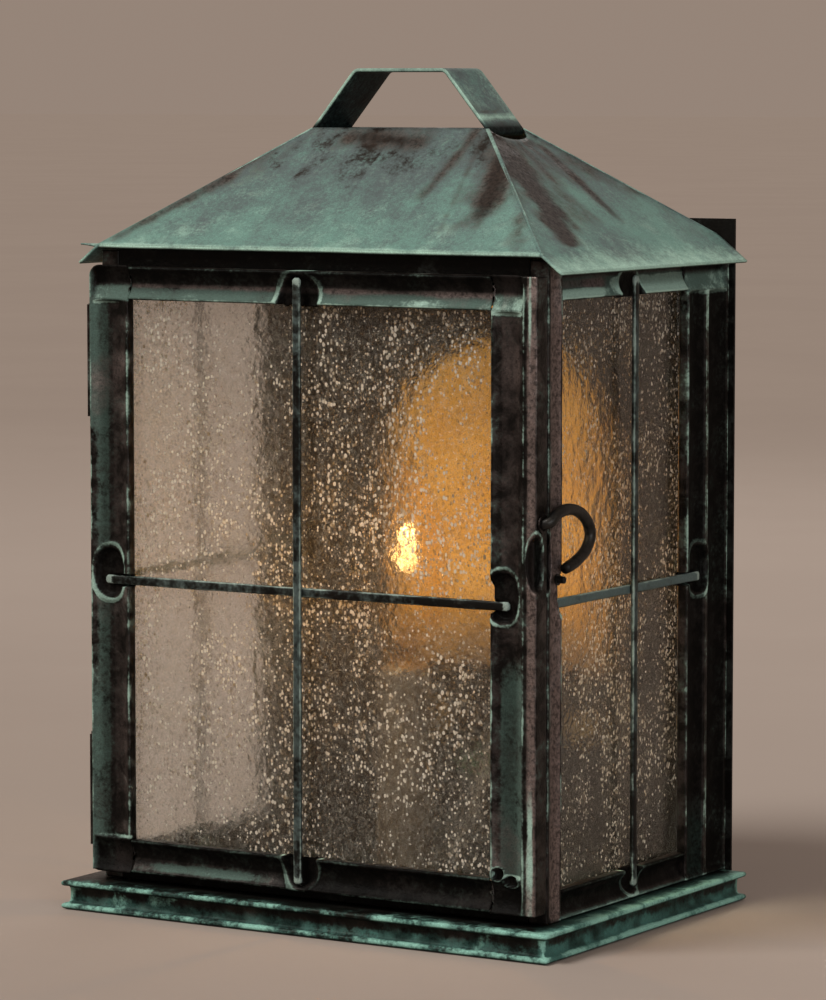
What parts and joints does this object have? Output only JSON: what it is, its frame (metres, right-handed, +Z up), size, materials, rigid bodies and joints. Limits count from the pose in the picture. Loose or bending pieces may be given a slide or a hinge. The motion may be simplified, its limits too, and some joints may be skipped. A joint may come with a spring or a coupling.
{
  "type": "wall lantern",
  "caption": "Outdoor wall lantern: glazed sheet-metal body with a hipped roof and strap handle, a hinged front door with a wire hook latch, and a candle lamp before a curved arched reflector.",
  "frame": {"origin": "middle of the back plate's wall face, 125 mm above the top of the base tray", "axes": "+Z up, +Y from the door towards the wall, +X to the right seen from the front"},
  "size_m": [0.2216, 0.1618, 0.3315],
  "materials": {
    "aged_frame": "near-black aged copper sheet with grey-green rubbed edges, matte",
    "verdigris_roof": "mottled verdigris copper sheet with brown streaks, matte",
    "verdigris_tray": "dark verdigris copper sheet with pale green lips, matte",
    "glazing_bar": "dark aged brass bar, satin",
    "latch_wire": "blackened round wire, satin",
    "seeded_glass": "heavily seeded antique glass",
    "reflector_copper": "warm polished copper sheet",
    "brass": "plain brass",
    "steel": "zinc-plated steel",
    "candle_sleeve": "dark bronzed tube",
    "lamp_holder": "moulded phenolic",
    "bulb_glass": "clear blown glass",
    "filament": "glowing wire",
    "rubber": "moulded rubber",
    "lead_black": "sleeved lead",
    "lead_white": "sleeved lead",
    "earth_green": "green passivated screw"
  },
  "bodies": {
    "housing": {"back_plate": "aged_frame", "base_tray": "verdigris_tray", "candle_sleeve": "candle_sleeve", "earth_screw": "earth_green", "front_header": "aged_frame", "front_sill": "aged_frame", "hinge_lower_body_leaf": "aged_frame", "hinge_lower_pin": "brass", "hinge_upper_body_leaf": "aged_frame", "hinge_upper_pin": "brass", "lamp_holder": "lamp_holder", "lamp_saucer": "candle_sleeve", "lamp_stem": "steel", "lamp_stem_nut": "steel", "latch_keeper": "latch_wire", "lead_black": "lead_black", "lead_white": "lead_white", "mount_cap_nut_left": "brass", "mount_cap_nut_right": "brass", "mount_washer_left": "brass", "mount_washer_right": "brass", "reflector": "reflector_copper", "reflector_rivet_lower": "brass", "reflector_rivet_upper": "brass", "roof_cover": "verdigris_roof", "roof_end_left": "verdigris_roof", "roof_end_right": "verdigris_roof", "side_left_bottom_rail": "aged_frame", "side_left_front_stile": "aged_frame", "side_left_glass": "seeded_glass", "side_left_horizontal_bar": "glazing_bar", "side_left_rear_stile": "aged_frame", "side_left_top_rail": "aged_frame", "side_left_vertical_bar": "glazing_bar", "side_right_bottom_rail": "aged_frame", "side_right_front_stile": "aged_frame", "side_right_glass": "seeded_glass", "side_right_horizontal_bar": "glazing_bar", "side_right_rear_stile": "aged_frame", "side_right_top_rail": "aged_frame", "side_right_vertical_bar": "glazing_bar", "strap_handle": "verdigris_roof", "wire_grommet": "rubber"},
    "door": {"door_bottom_rail": "aged_frame", "door_glass": "seeded_glass", "door_hinge_stile": "aged_frame", "door_horizontal_bar": "glazing_bar", "door_latch_stile": "aged_frame", "door_top_rail": "aged_frame", "door_vertical_bar": "glazing_bar", "hinge_lower_door_leaf": "aged_frame", "hinge_upper_door_leaf": "aged_frame", "latch_bush": "aged_frame"},
    "latch": {"latch_hook": "latch_wire"},
    "bulb": {"bulb_base": "brass", "bulb_glass": "bulb_glass", "bulb_stem": "bulb_glass", "bulb_filament": "filament"}
  },
  "joints": [
    {"name": "door_swing", "type": "hinge", "parent": "housing", "child": "door", "pos_m": [-0.1045, -0.1451, 0], "axis": [0, 0, -1], "range_deg": [0, 110]},
    {"name": "latch_turn", "type": "hinge", "parent": "door", "child": "latch", "pos_m": [0.105, -0.1494, 0.0265], "axis": [1, 0, 0], "range_deg": [0, 160]},
    {"name": "bulb_turn", "type": "hinge", "parent": "housing", "child": "bulb", "pos_m": [0, -0.0808, 0], "axis": [0, 0, 1], "range_deg": [0, 1530]}
  ]
}
